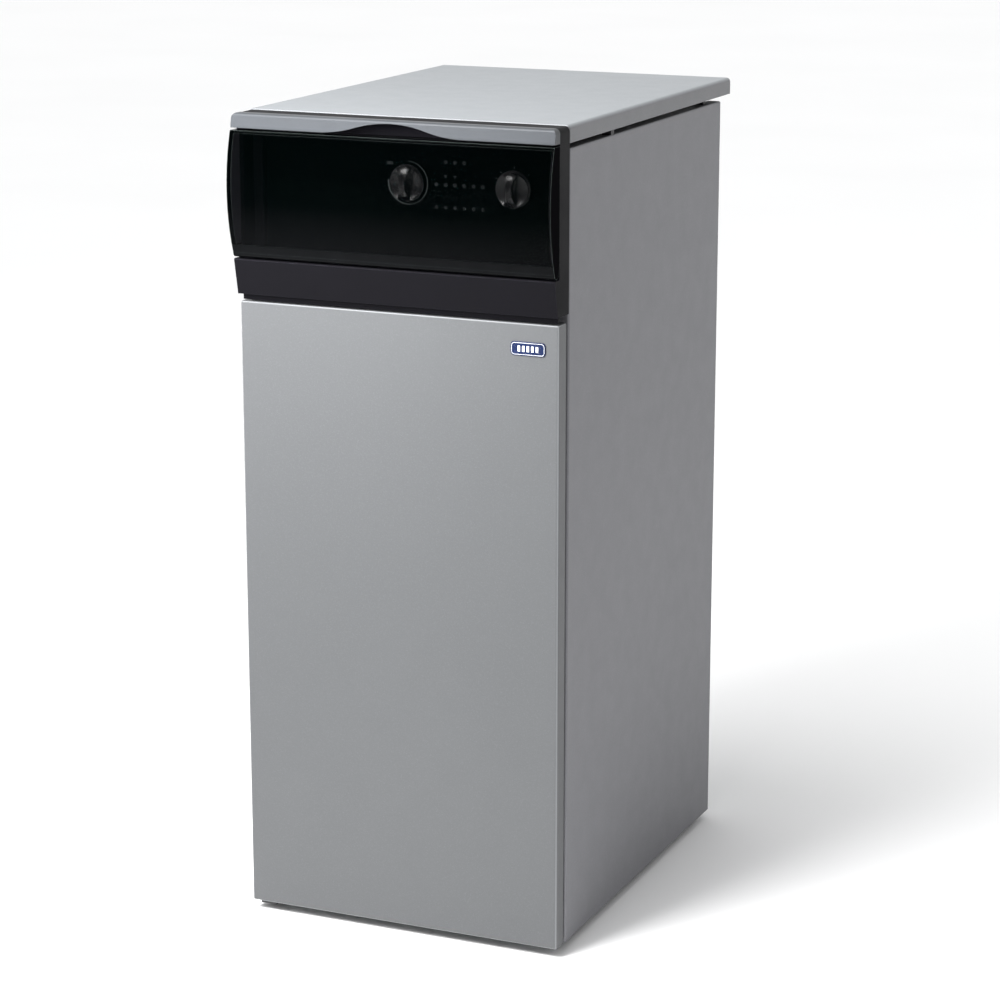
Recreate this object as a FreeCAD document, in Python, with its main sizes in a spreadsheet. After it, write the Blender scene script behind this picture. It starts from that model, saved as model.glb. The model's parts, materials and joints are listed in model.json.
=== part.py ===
"""Narrow floor-standing gas boiler, 350 x 515 x 850 mm, as a parametric FreeCAD document.

Frame: +Z up, +X to the right of someone facing the door, +Y to the rear, origin on the floor
under the centre of the bounding box. Every size below is in millimetres.
"""
import FreeCAD, Part
import math
import os
import re

import Sketcher

# alias, value, meaning
SIZES = [
    ("width", 350, "overall width"),
    ("depth", 515, "overall depth, flap bulge to top cover rear"),
    ("height", 850, "overall height"),
    ("sheet", 1.2, "casing sheet thickness"),
    ("fold", 14, "width of the returns folded round the sheet panels"),
    ("slip", 0.05, "radial running clearance"),
    ("side_front", -209, "front edge of the side panels"),
    ("side_rear", 227, "rear edge of the side panels"),
    ("side_low", 8.3, "bottom edge of the side panels"),
    ("side_top", 827.5, "top edge of the side panels"),
    ("cover_skirt", 17.4, "height of the top cover's skirt"),
    ("door_front", -234, "front face of the door"),
    ("door_rear", -216, "rear edge of the door's returns"),
    ("door_low", 10, "bottom of the door"),
    ("door_top", 658, "top of the door"),
    ("hinge_x", -163, "door pivot line, across"),
    ("hinge_y", -225, "door pivot line, depth"),
    ("pin_radius", 3, "door hinge pin radius"),
    ("base_low", 8, "underside of the base frame"),
    ("base_top", 48, "top of the base frame's walls"),
    ("base_half", 160, "half width of the base frame"),
    ("foot_x", 120, "levelling feet, half spacing across"),
    ("foot_front", -170, "front feet"),
    ("foot_rear", 196, "rear feet"),
    ("frame_low", 666, "bottom of the control frame"),
    ("frame_top", 849, "top of the control frame"),
    ("frame_rear", -209.5, "rear of the control frame's rim"),
    ("window_low", 703, "bottom of the control window"),
    ("window_top", 833, "top of the control window"),
    ("window_half", 168, "half width of the control window"),
    ("sleeve_half", 160.5, "half width of the control frame's sleeve"),
    ("wall", 2.5, "moulded plastic wall"),
    ("flap_axis_y", -241.5, "flap pivot line, depth"),
    ("flap_axis_z", 709.5, "flap pivot line, height"),
    ("flap_lip", 5, "radius of the flap's lower lip"),
    ("flap_top", 832.5, "top edge of the flap"),
    ("flap_bow", 190, "radius of the flap's bowed face"),
    ("flap_wall", 3, "flap wall"),
    ("flap_pin", 1.5, "flap pin radius"),
    ("ear_x", 163, "centre of the flap's hinge ears"),
    ("ear_wide", 8, "width of a hinge ear"),
    ("ear_arm", 2.4, "thickness of a hinge ear's arm"),
    ("ear_hub", 3, "radius of a hinge ear's hub"),
    ("trim_low", 834.8, "lower edge of the grip trim"),
    ("trim_top", 849.5, "upper edge of the grip trim"),
    ("grip_half", 78, "half width of the finger cut-out in the grip trim"),
    ("grip_rise", 11.6, "height of the finger cut-out"),
    ("fascia_front", -204, "face of the fascia"),
    ("knob_z", 784, "height of both knobs"),
    ("selector_x", 114.5, "selector knob, across"),
    ("knob_dome", 27, "radius of a knob's domed face"),
    ("scoop_radius", 30, "radius of the scoops beside a knob's finger bar"),
    ("knob_radius", 18.5, "knob radius"),
    ("shaft_radius", 3, "knob shaft radius"),
    ("light_x", 31, "first column of indicator lights"),
    ("light_pitch", 10, "indicator light spacing"),
    ("light_rise", 22.5, "spacing of the light rows"),
    ("block_low", 90, "underside of the cast-iron block"),
    ("block_top", 610, "top of the cast-iron block"),
    ("block_half", 130, "half width of the cast-iron block"),
    ("block_front", -100, "front face of the cast-iron block"),
    ("section", 90, "depth of one cast-iron section"),
    ("arch_half", 95, "half width of the combustion chamber"),
    ("arch_spring", 250, "height where the chamber's arch springs"),
    ("iron", 8, "cast-iron wall"),
    ("flow_x", -98, "flow port and pipe, across"),
    ("flow_z", 582, "flow port and pipe, height"),
    ("return_x", 112, "return port and pipe, across"),
    ("return_z", 116, "return port and pipe, height"),
    ("pipe_radius", 16.6, "G1 pipe, outside"),
    ("gas_radius", 10, "gas pipe, outside"),
    ("gas_thread", 10.48, "G1/2 end of the gas inlet, outside"),
    ("gas_x", -145, "gas inlet pipe, across"),
    ("gas_z", 66, "gas inlet pipe, height at the rear"),
    ("gas_y", -160, "gas line, depth at the front"),
    ("valve_z", 415, "gas valve, height"),
    ("bar_pitch", 36, "spacing of the burner bars"),
    ("injector_z", 140, "height of manifold and injectors"),
    ("flue_radius", 55, "inside of the flue spigot"),
    ("flue_z", 745, "flue spigot, height"),
]

doc = FreeCAD.newDocument("boiler")
sheet = doc.addObject("Spreadsheet::Sheet", "Sizes")
for row, (alias, value, meaning) in enumerate(SIZES, start=1):
    sheet.set(f"A{row}", meaning)
    sheet.set(f"B{row}", str(value))
    sheet.setAlias(f"B{row}", alias)
doc.recompute()

WORDS = re.compile(r"\b(" + "|".join(alias for alias, _, _ in SIZES) + r")\b")
LIGHT_ROWS = [(1, 1, 3), (0, 0, 6), (-1, 0, 6)]  # row, first column, number of lights
BARS = 5
nodes = {}


def formula(text):
    """A size formula with each alias pointed at the sheet."""
    return WORDS.sub(r"Sizes.\1", str(text))


def value(text):
    return float(sheet.evalExpression(formula(text)))


def bind(item, **sizes):
    for name, text in sizes.items():
        item.setExpression(name, formula(text))


def place(item, x, y, z, rotation=None):
    if rotation:
        item.Placement = FreeCAD.Placement(FreeCAD.Vector(), rotation)
    for name, text in zip("xyz", (x, y, z)):
        item.setExpression(f"Placement.Base.{name}", formula(text))
    return item


def node(name, item):
    """Registers a finished sub-part under its own label."""
    item.Label = name
    nodes[name] = item
    return item


# ---- Part primitives and booleans --------------------------------------------------------

TURNS = {
    "x": FreeCAD.Rotation(FreeCAD.Vector(0, 1, 0), 90),
    "y": FreeCAD.Rotation(FreeCAD.Vector(1, 0, 0), -90),
    "z": FreeCAD.Rotation(),
}


def box(x, y, z):
    """A block between two formulas on each axis."""
    item = doc.addObject("Part::Box", "block")
    for name, (low, high) in zip(("Length", "Width", "Height"), (x, y, z)):
        item.setExpression(name, formula(f"({high}) - ({low})"))
    return place(item, x[0], y[0], z[0])


def rod(axis, centre, radius, low, high):
    """A cylinder along an axis; centre holds the two other coordinates in x, y, z order."""
    item = doc.addObject("Part::Cylinder", "rod")
    bind(item, Radius=radius, Height=f"({high}) - ({low})")
    spot = list(centre)
    spot.insert("xyz".index(axis), low)
    return place(item, *spot, rotation=TURNS[axis])


def ball(x, y, z, radius):
    item = doc.addObject("Part::Sphere", "ball")
    bind(item, Radius=radius)
    return place(item, x, y, z)


def cone(axis, centre, radius_low, radius_high, low, high):
    item = doc.addObject("Part::Cone", "cone")
    bind(item, Radius1=radius_low, Radius2=radius_high, Height=f"({high}) - ({low})")
    spot = list(centre)
    spot.insert("xyz".index(axis), low)
    return place(item, *spot, rotation=TURNS[axis])


def prism(axis, centre, radius, low, high, sides=6):
    item = doc.addObject("Part::Prism", "prism")
    item.Polygon = sides
    bind(item, Circumradius=radius, Height=f"({high}) - ({low})")
    spot = list(centre)
    spot.insert("xyz".index(axis), low)
    return place(item, *spot, rotation=TURNS[axis])


def fuse(*items):
    item = doc.addObject("Part::MultiFuse", "fused")
    item.Shapes = list(items)
    item.Refine = True
    return item


def cut(base, *tools):
    item = doc.addObject("Part::Cut", "cut")
    item.Base = base
    item.Tool = tools[0] if len(tools) == 1 else fuse(*tools)
    return item


def common(*items):
    item = doc.addObject("Part::MultiCommon", "common")
    item.Shapes = list(items)
    return item


def group(*items):
    """Separate solids in one node."""
    item = doc.addObject("Part::Compound", "group")
    item.Links = list(items)
    return item


def tube(axis, centre, outer, inner, low, high):
    return cut(rod(axis, centre, outer, low, high), rod(axis, centre, inner, low, high))


def pipe(points, radius, bend, bore=None):
    """A round pipe through straight runs joined by tangent arcs, optionally hollow."""
    spots = [FreeCAD.Vector(*(value(text) for text in point)) for point in points]
    edges = []
    start = spots[0]
    for before, corner, after in zip(spots, spots[1:], spots[2:]):
        inward = (before - corner).normalize()
        outward = (after - corner).normalize()
        half = inward.getAngle(outward) / 2
        reach = value(bend) / math.tan(half)
        middle = (inward + outward).normalize()
        centre = corner + middle * (value(bend) / math.sin(half))
        first = corner + inward * reach
        last = corner + outward * reach
        edges.append(Part.makeLine(start, first))
        edges.append(Part.Arc(first, centre - middle * value(bend), last).toShape())
        start = last
    edges.append(Part.makeLine(start, spots[-1]))
    path = Part.Wire(edges)
    shapes = []
    for size in (radius, bore):
        if size:
            ring = Part.Circle(spots[0], spots[1] - spots[0], value(size)).toShape()
            shapes.append(path.makePipeShell([Part.Wire([ring])], True, False))
    item = doc.addObject("Part::Feature", "pipe")
    item.Shape = shapes[0].cut(shapes[1]) if bore else shapes[0]
    return item


# ---- PartDesign bodies -------------------------------------------------------------------

def new_body(name):
    body = doc.addObject("PartDesign::Body", name)
    return node(name, body)


def origin_plane(body, role):
    return next(item for item in body.Origin.OriginFeatures if item.Role == role)


def arc_edge(start, end, radius):
    """Arc from start to end; a positive radius turns anticlockwise."""
    chord = end - start
    middle = (start + end) / 2
    drop = math.sqrt(max(radius * radius - (chord.Length / 2) ** 2, 0))
    side = FreeCAD.Vector(-chord.y, chord.x, 0).normalize()
    centre = middle + side * math.copysign(drop, radius)
    circle = Part.Circle(centre, FreeCAD.Vector(0, 0, 1), abs(radius))
    first, last = circle.parameter(start), circle.parameter(end)
    if radius < 0:
        first, last = last, first
    return Part.ArcOfCircle(circle, first, last)


def middle_rule(sketch, edge, start, end):
    """Holds a half circle's centre midway between its ends, across its chord."""
    level = abs(value(start[1]) - value(end[1])) < abs(value(start[0]) - value(end[0]))
    kind, side = ("DistanceY", 1) if level else ("DistanceX", 0)
    text = f"(({start[side]}) + ({end[side]})) / 2"
    rule = sketch.addConstraint(Sketcher.Constraint(kind, edge, 3, value(text)))
    sketch.setExpression(f"Constraints[{rule}]", formula(text))


def outline(sketch, points):
    """A closed loop of (u, v) or (u, v, radius) points; a radius bends the edge that follows."""
    spots = [FreeCAD.Vector(value(point[0]), value(point[1]), 0) for point in points]
    ends = []
    for index, point in enumerate(points):
        start, end = spots[index], spots[(index + 1) % len(points)]
        if len(point) == 3:
            radius = value(point[2])
            edge = sketch.addGeometry(arc_edge(start, end, radius), False)
            ends.append((edge, 1, 2) if radius > 0 else (edge, 2, 1))
            if abs(start.distanceToPoint(end) - 2 * abs(radius)) < 0.001:
                middle_rule(sketch, edge, point, points[(index + 1) % len(points)])
            else:
                rule = sketch.addConstraint(Sketcher.Constraint("Radius", edge, abs(radius)))
                sketch.setExpression(f"Constraints[{rule}]", formula(f"abs({point[2]})"))
        else:
            edge = sketch.addGeometry(Part.LineSegment(start, end), False)
            ends.append((edge, 1, 2))
    for index, point in enumerate(points):
        edge, first, _ = ends[index]
        before, _, last = ends[index - 1]
        sketch.addConstraint(Sketcher.Constraint("Coincident", before, last, edge, first))
        for kind, text in (("DistanceX", point[0]), ("DistanceY", point[1])):
            rule = sketch.addConstraint(Sketcher.Constraint(kind, edge, first, value(text)))
            sketch.setExpression(f"Constraints[{rule}]", formula(text))


def circle(sketch, u, v, radius):
    spot = FreeCAD.Vector(value(u), value(v), 0)
    edge = sketch.addGeometry(Part.Circle(spot, FreeCAD.Vector(0, 0, 1), value(radius)), False)
    rules = [
        (Sketcher.Constraint("DistanceX", edge, 3, spot.x), u),
        (Sketcher.Constraint("DistanceY", edge, 3, spot.y), v),
        (Sketcher.Constraint("Radius", edge, value(radius)), radius),
    ]
    for constraint, text in rules:
        rule = sketch.addConstraint(constraint)
        sketch.setExpression(f"Constraints[{rule}]", formula(text))


def rectangle(u, v):
    return [(u[0], v[0]), (u[1], v[0]), (u[1], v[1]), (u[0], v[1])]


def slab(body, kind, plane, loops, low, high):
    """Pads or pockets outlines and circles drawn on an origin plane, between two depths."""
    sketch = body.newObject("Sketcher::SketchObject", "profile")
    sketch.AttachmentSupport = (origin_plane(body, plane + "_Plane"), [""])
    sketch.MapMode = "FlatFace"
    backwards = plane == "XZ"
    offset = f"-({low})" if backwards else low
    sketch.setExpression("AttachmentOffset.Base.z", formula(offset))
    for loop in loops:
        if isinstance(loop, tuple):
            circle(sketch, *loop)
        else:
            outline(sketch, loop)
    doc.recompute()
    before = body.Tip.Shape.Volume if kind == "Pocket" else 0
    feature = body.newObject(f"PartDesign::{kind}", kind.lower())
    feature.Profile = sketch
    bind(feature, Length=f"({high}) - ({low})")
    feature.Reversed = backwards != (kind == "Pocket")
    doc.recompute()
    if kind == "Pocket" and feature.Shape.Volume > before - 0.01:
        raise RuntimeError(f"{body.Label}: a pocket cuts nothing")
    return feature


def pad(body, plane, loops, low, high):
    return slab(body, "Pad", plane, loops, low, high)


def pocket(body, plane, loops, low, high):
    return slab(body, "Pocket", plane, loops, low, high)


def names_where(feature, kind, test):
    items = feature.Shape.Edges if kind == "Edge" else feature.Shape.Faces
    return [f"{kind}{index}" for index, item in enumerate(items, start=1) if test(item)]


def runs_along(axis, **limits):
    """A test for straight edges along an axis whose middle lies at the given coordinates."""
    way = FreeCAD.Vector(*(1 if name == axis else 0 for name in "xyz"))

    def test(edge):
        if not isinstance(edge.Curve, Part.Line) or abs(edge.Curve.Direction.dot(way)) < 0.999:
            return False
        middle = edge.CenterOfMass
        for name, text in limits.items():
            wanted = [value(item) for item in (text if isinstance(text, list) else [text])]
            if not any(abs(getattr(middle, name) - item) < 0.01 for item in wanted):
                return False
        return True
    return test


def fillet(body, radius, test):
    base = body.Tip
    feature = body.newObject("PartDesign::Fillet", "fillet")
    feature.Base = (base, names_where(base, "Edge", test))
    bind(feature, Radius=radius)
    doc.recompute()
    return feature


def hollow(body, thickness, axis, at):
    """Turns a solid into a tray of even wall, open at the flat face at the given coordinate."""
    base = body.Tip
    place_at = value(at)

    def open_face(face):
        return (isinstance(face.Surface, Part.Plane)
                and abs(getattr(face.CenterOfMass, axis) - place_at) < 0.01
                and abs(getattr(face.normalAt(0, 0), axis)) > 0.99)
    feature = body.newObject("PartDesign::Thickness", "hollow")
    feature.Base = (base, names_where(base, "Face", open_face))
    feature.Reversed = True
    bind(feature, Value=thickness)
    doc.recompute()
    return feature


# ---- Casing ------------------------------------------------------------------------------

def side_panel(name, side):
    """Sheet panel with its four edges folded inward."""
    body = new_body(name)
    outer, inner = (f"{side} * width / 2", f"{side} * (width / 2 - fold)")
    low, high = (inner, outer) if side > 0 else (outer, inner)
    profile = rectangle(("side_front", "side_rear"), ("side_low", "side_top"))
    pad(body, "YZ", [profile], low, high)
    fillet(body, "2.5", runs_along("z", x=outer))
    fillet(body, "2", runs_along("y", x=outer))
    hollow(body, "sheet", "x", inner)


def rear_panel():
    """Flat rear sheet with its flue, pipe and cable holes and two rows of air slots."""
    body = new_body("rear_panel")
    pad(body, "XZ", [rectangle(("-172", "172"), ("12", "824"))], "side_rear", "side_rear + sheet")
    holes = [
        ("0", "flue_z", "flue_radius + 5"),
        ("flow_x", "flow_z", "pipe_radius + 4"),
        ("return_x", "return_z", "pipe_radius + 4"),
        ("gas_x", "gas_z", "gas_radius + 3"),
        ("120", "650", "6"),
    ]
    slots = [rectangle((f"{x - 12}", f"{x + 12}"), (f"{z}", f"{z + 5}"))
             for x in range(-120, 121, 40) for z in (300, 315, 330)]
    pocket(body, "XZ", holes + slots, "side_rear", "side_rear + sheet")


def screw_spots():
    return [(side * 168, height) for side in (-1, 1) for height in (60, 300, 540, 780)]


def rear_panel_screws():
    """Eight pan-head screws through the rear panel into the side panels' rear folds."""
    screws = []
    for x, z in screw_spots():
        shank = rod("y", (x, z), "2", "side_rear - 8", "side_rear + sheet")
        head = rod("y", (x, z), "4", "side_rear + sheet", "side_rear + sheet + 2.4")
        screws.append(fuse(shank, head))
    node("rear_panel_screws", group(*screws))


def drill_for_screws(body, low, high, side=None):
    spots = [(x, z) for x, z in screw_spots() if side is None or x * side > 0]
    pocket(body, "XZ", [(f"{x}", f"{z}", "2 + slip") for x, z in spots], low, high)


def top_cover():
    """Flat cover with a folded skirt, carried past the rear of the side panels."""
    body = new_body("top_cover")
    half = "width / 2"
    profile = rectangle((f"-{half}", half), ("side_front", "depth / 2"))
    pad(body, "XY", [profile], "height - cover_skirt", "height")
    fillet(body, "4.5", runs_along("y", z="height"))
    fillet(body, "1.5", runs_along("x", z="height"))
    hollow(body, "sheet", "z", "height - cover_skirt")


def cover_supports():
    """Four lugs that carry the top cover and keep the shadow gap under its skirt."""
    lugs = []
    for y, outer in ((-94, 173.8), (190, 169)):
        for side in (-1, 1):
            edge = sorted((side * (outer - 10), side * outer))
            lugs.append(box((edge[0], edge[1]), (y - 4, y + 4), ("side_top", "height - 5")))
    node("cover_supports", group(*lugs))


def base_frame():
    """Folded tray with an air inlet under the burner and holes for the feet."""
    body = new_body("base_frame")
    profile = rectangle(("-base_half", "base_half"), ("-205", "222"))
    pad(body, "XY", [profile], "base_low", "base_top")
    fillet(body, "3", runs_along("z"))
    hollow(body, "1.5", "z", "base_top")
    feet = [(f"{side} * foot_x", y, "5.5") for side in (-1, 1) for y in ("foot_front", "foot_rear")]
    inlet = rectangle(("-85", "85"), ("-60", "140"))
    pocket(body, "XY", [inlet] + feet, "base_low", "base_low + 1.5")


def nut(axis, centre, low):
    """M10 nut: the feet and the tie rods share this size."""
    high = f"{low} + 8"
    return cut(prism(axis, centre, "9", low, high), rod(axis, centre, "5 + slip", low, high))


def fastened_studs():
    """Four adjustable feet and four tie rods, and one node with all the nuts on them."""
    feet = []
    rods = []
    nuts = []
    for side in (-1, 1):
        for y in ("foot_front", "foot_rear"):
            spot = (f"{side} * foot_x", y)
            feet.append(fuse(rod("z", spot, "14", "0", "5"), rod("z", spot, "5", "5", "38")))
            nuts.append(nut("z", spot, "base_low + 1.5"))
        for z in (160, 540):
            spot = (side * 135, z)
            rods.append(rod("y", spot, "5", "block_front - 10", "block_front + section * 3 + 10"))
            nuts.append(nut("y", spot, "block_front - 8"))
            nuts.append(nut("y", spot, "block_front + section * 3"))
    node("levelling_feet", group(*feet))
    node("tie_rods", group(*rods))
    node("m10_nuts", group(*nuts))


def support_rails():
    """Two box rails that carry the cast-iron block above the base frame."""
    rails = []
    for side in (-1, 1):
        x = sorted((side * 99, side * 129))
        outer = box((x[0], x[1]), (-98, 166), ("base_low + 1.5", "block_low"))
        inner = box((x[0] + 2, x[1] - 2), (-98, 166), ("base_low + 3.5", "block_low - 2"))
        rails.append(cut(outer, inner))
    node("support_rails", group(*rails))


def front_crossmember():
    """Angle across the front opening; the control box rests on its shelf."""
    upright = box((-172.4, 172.4), ("side_front + sheet", "side_front + sheet + 1.5"), (636, 663))
    shelf = box((-150, 150), ("side_front + sheet", -170), (661.5, 663))
    node("front_crossmember", fuse(upright, shelf))


# ---- Door --------------------------------------------------------------------------------

def door_shell():
    """Folded sheet tray with rounded front edges and a drilled pivot plate at top and bottom."""
    body = new_body("door_shell")
    half = "width / 2"
    profile = rectangle((f"-{half}", half), ("door_low", "door_top"))
    pad(body, "XZ", [profile], "door_front", "door_rear")
    fillet(body, "2.5", runs_along("z", y="door_front"))
    fillet(body, "2", runs_along("x", y="door_front"))
    hollow(body, "sheet", "y", "door_rear")
    plate = rectangle(("hinge_x - 9", "hinge_x + 13"), ("hinge_y - 7", "hinge_y + 6"))
    for low, high in (("door_low", "door_low + sheet + 3"), ("door_top - sheet - 3", "door_top")):
        pad(body, "XY", [plate], low, high)
        pocket(body, "XY", [("hinge_x", "hinge_y", "pin_radius + slip")], low, high)


def door_inner_panel():
    """Stiffening sheet that closes the back of the door, with three rows of air slots."""
    body = new_body("door_inner_panel")
    edge = "width / 2 - sheet - 0.1"
    profile = rectangle((f"-({edge})", edge), ("door_low + sheet + 0.1", "door_top - sheet - 0.1"))
    pad(body, "XZ", [profile], "door_rear - 3", "door_rear - 3 + sheet")
    fillet(body, "3", runs_along("y"))
    slots = [rectangle((f"{x - 14}", f"{x + 14}"), (f"{z}", f"{z + 6}"))
             for x in range(-90, 91, 45) for z in (70, 86, 102)]
    pocket(body, "XZ", slots, "door_rear - 3", "door_rear - 3 + sheet")


def door_hinges():
    """Brackets on the casing, one under the door and one above it, each with its pivot pin."""
    x = ("hinge_x - 5", "hinge_x + 13")
    centre = ("hinge_x", "hinge_y")
    tab = box(x, ("hinge_y - pin_radius", -188), ("base_low - 2.2", "base_low"))
    pin = rod("z", centre, "pin_radius", "base_low - 1", "door_low + 8")
    lower = fuse(tab, pin)
    arm = box(("-160", "hinge_x + 13"), ("hinge_y - pin_radius", -192), (663, 665.5))
    tab = box(x, ("hinge_y - pin_radius", -210.5), (663, 665.5))
    pin = rod("z", centre, "pin_radius", "door_top - 8", "664")
    upper = fuse(arm, tab, pin)
    node("door_hinge_brackets", group(lower, upper))


def door_magnets():
    """Two magnets on the casing that hold the steel sheet inside the door."""
    magnets = [box((162, 172.5), ("door_rear - 1.6", "side_front"), (z - 20, z + 20))
               for z in (60, 600)]
    node("door_magnets", group(*magnets))


def door_badge():
    """Blank rounded plate near the door's upper right corner."""
    body = new_body("door_badge")
    profile = rectangle(("124", "161"), ("626", "640"))
    pad(body, "XZ", [profile], "door_front - 1.2", "door_front")
    fillet(body, "4", runs_along("y"))
    fillet(body, "0.5", lambda edge: abs(edge.CenterOfMass.y - value("door_front - 1.2")) < 0.01)


# ---- Control panel -----------------------------------------------------------------------

def control_frame():
    """Moulded rim round the controls, with a flared lower strip, a lip, hinge ears and a sleeve."""
    body = new_body("control_frame")
    half = "width / 2"
    rim = rectangle((f"-{half}", half), ("frame_low", "frame_top"))
    pad(body, "XZ", [rim], "door_front", "frame_rear")
    fillet(body, "5.5", runs_along("y", z="frame_top"))
    window = rectangle(("-window_half", "window_half"), ("window_low", "window_top"))
    pocket(body, "XZ", [window], "door_front", "frame_rear - 3")
    strip = [("frame_rear - 1", "frame_low"), ("-238", "frame_low"), ("-245", "window_low - 1"),
             ("-244", "window_low"), ("frame_rear - 1", "window_low")]
    pad(body, "YZ", [strip], f"-{half}", half)
    sleeve = rectangle(("-sleeve_half", "sleeve_half"), ("frame_low + 6", "side_top - 1.5"))
    pad(body, "XZ", [sleeve], "frame_rear", "frame_rear + 20")
    inner = "sleeve_half - wall"
    opening = rectangle((f"-({inner})", inner), ("window_low", "side_top - 1.5 - wall"))
    pocket(body, "XZ", [opening], "frame_rear - 3", "frame_rear + 20")
    lip = rectangle(("-231", "-228.5"), ("frame_low - 6.5", "frame_low + 1"))
    pad(body, "YZ", [lip], f"-({half} - 2.5)", f"{half} - 2.5")
    for side in (-1, 1):
        arm_low, arm_top = "flap_axis_z - ear_arm / 2", "flap_axis_z + ear_arm / 2"
        ear = [("-235", "window_low - 1"), ("-231.5", "window_low - 1"), ("-231.5", arm_top),
               ("flap_axis_y", arm_top), ("flap_axis_y", arm_low), ("-235", arm_low)]
        low, high = f"{side} * ear_x - ear_wide / 2", f"{side} * ear_x + ear_wide / 2"
        pad(body, "YZ", [ear], low, high)
        pad(body, "YZ", [("flap_axis_y", "flap_axis_z", "ear_hub")], low, high)
        pocket(body, "YZ", [("flap_axis_y", "flap_axis_z", "flap_pin + slip")], low, high)
    scoop = [("-236.5", "window_top - 1"), ("-225", "window_top - 1"),
             ("-225", "window_top + 2", "11.5"), ("-236.5", "trim_top - 4")]
    pocket(body, "YZ", [scoop], "-grip_half", "grip_half")


def grip_trim():
    """Satin strip over the top bar, its lower edge arched up in the middle for the fingers."""
    body = new_body("grip_trim")
    half = "width / 2"
    front = "-246.5"
    # each side of the arch is an S of two equal arcs, so it leaves and reaches level
    bend = "(grip_half * grip_half / 4 + grip_rise * grip_rise / 4) / grip_rise"
    middle = "trim_low + grip_rise / 2"
    lower_edge = [
        (f"-{half}", "trim_low"),
        ("-grip_half", "trim_low", bend),
        ("-grip_half / 2", middle, f"-({bend})"),
        ("0", "trim_low + grip_rise", f"-({bend})"),
        ("grip_half / 2", middle, bend),
        ("grip_half", "trim_low"),
        (half, "trim_low"), (half, "trim_top"), (f"-{half}", "trim_top"),
    ]
    pad(body, "XZ", [lower_edge], front, "door_front")
    fillet(body, "5.5", runs_along("y", z="trim_top"))
    slope = [(f"{front} - 1", "trim_low - 1"), (front, "trim_low - 1"), (front, "trim_low + 2"),
             ("-244.6", "trim_top - 3", "-4"), ("-241.5", "trim_top"), ("-241.5", "trim_top + 1"),
             (f"{front} - 1", "trim_top + 1")]
    pocket(body, "YZ", [slope], f"-{half}", half)
    recess = rectangle((f"-({half} - wall)", f"{half} - wall"), ("trim_low - 1", "trim_top - wall"))
    pocket(body, "XZ", [recess], "-242.5", "door_front")


def flap():
    """Smoked bowed flap with end walls; its round lower lip turns about the hinge pins."""
    body = new_body("flap")
    half = "width / 2"
    shell = [
        ("flap_axis_y - flap_lip", "flap_axis_z", "flap_lip"),
        ("flap_axis_y + flap_lip", "flap_axis_z"),
        ("door_front", "flap_axis_z + 8.5"),
        ("door_front", "flap_top"),
        ("-248", "flap_top", "flap_bow"),
    ]
    pad(body, "YZ", [shell], f"-{half}", half)
    room = [
        ("flap_axis_y - 3.6", "flap_axis_z + 8"),
        ("door_front + 1", "flap_axis_z + 8"),
        ("door_front + 1", "flap_top - flap_wall"),
        ("-246.2", "flap_top - flap_wall", "flap_bow - flap_wall"),
    ]
    pocket(body, "YZ", [room], f"-({half} - flap_wall)", f"{half} - flap_wall")
    for side in (-1, 1):
        low, high = f"{side} * ear_x - ear_wide / 2 - 1", f"{side} * ear_x + ear_wide / 2 + 1"
        room = "(ear_arm / 2 + 0.5)"
        notch = rectangle((f"flap_axis_y - {room}", "flap_axis_y + flap_lip + 1"),
                          ("flap_axis_z - flap_lip - 1", f"flap_axis_z + {room}"))
        pocket(body, "YZ", [notch], low, high)
        pocket(body, "YZ", [("flap_axis_y", "flap_axis_z", "ear_hub + 0.5")], low, high)
        low, high = pin_span(side)
        pocket(body, "YZ", [("flap_axis_y", "flap_axis_z", "flap_pin + 0.02")], low, high)


def pin_span(side):
    """Ends of a flap pin: 13 mm inward of its ear's middle and 10 mm outward."""
    inward, outward = (13, 10) if side > 0 else (10, 13)
    return f"{side} * ear_x - {inward}", f"{side} * ear_x + {outward}"


def flap_pins():
    pins = [rod("x", ("flap_axis_y", "flap_axis_z"), "flap_pin", *pin_span(side))
            for side in (-1, 1)]
    node("flap_pins", group(*pins))


def fascia_plate():
    """Flat plate behind the flap, drilled for two shafts and the indicator lights."""
    body = new_body("fascia_plate")
    half = "sleeve_half - wall - 0.1"
    profile = rectangle((f"-({half})", half), ("window_low + 0.1", "side_top - 1.6 - wall"))
    pad(body, "XZ", [profile], "fascia_front", "fascia_front + wall")
    holes = [(x, "knob_z", "5") for x in ("0", "selector_x")]
    holes += [(x, z, "1.2") for x, z in light_spots()]
    pocket(body, "XZ", holes, "fascia_front", "fascia_front + wall")


def light_spots():
    return [(f"light_x + light_pitch * {first + step}", f"knob_z + light_rise * {row}")
            for row, first, count in LIGHT_ROWS for step in range(count)]


def indicators():
    """Light guides in the fascia and the small board that they stand on."""
    guides = [rod("y", spot, "1.15", "fascia_front", "fascia_front + 6") for spot in light_spots()]
    node("indicator_lights", group(*guides))
    board = box((22, 92), ("fascia_front + 6", "fascia_front + 7.6"), (750, 818))
    node("indicator_board", board)


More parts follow.
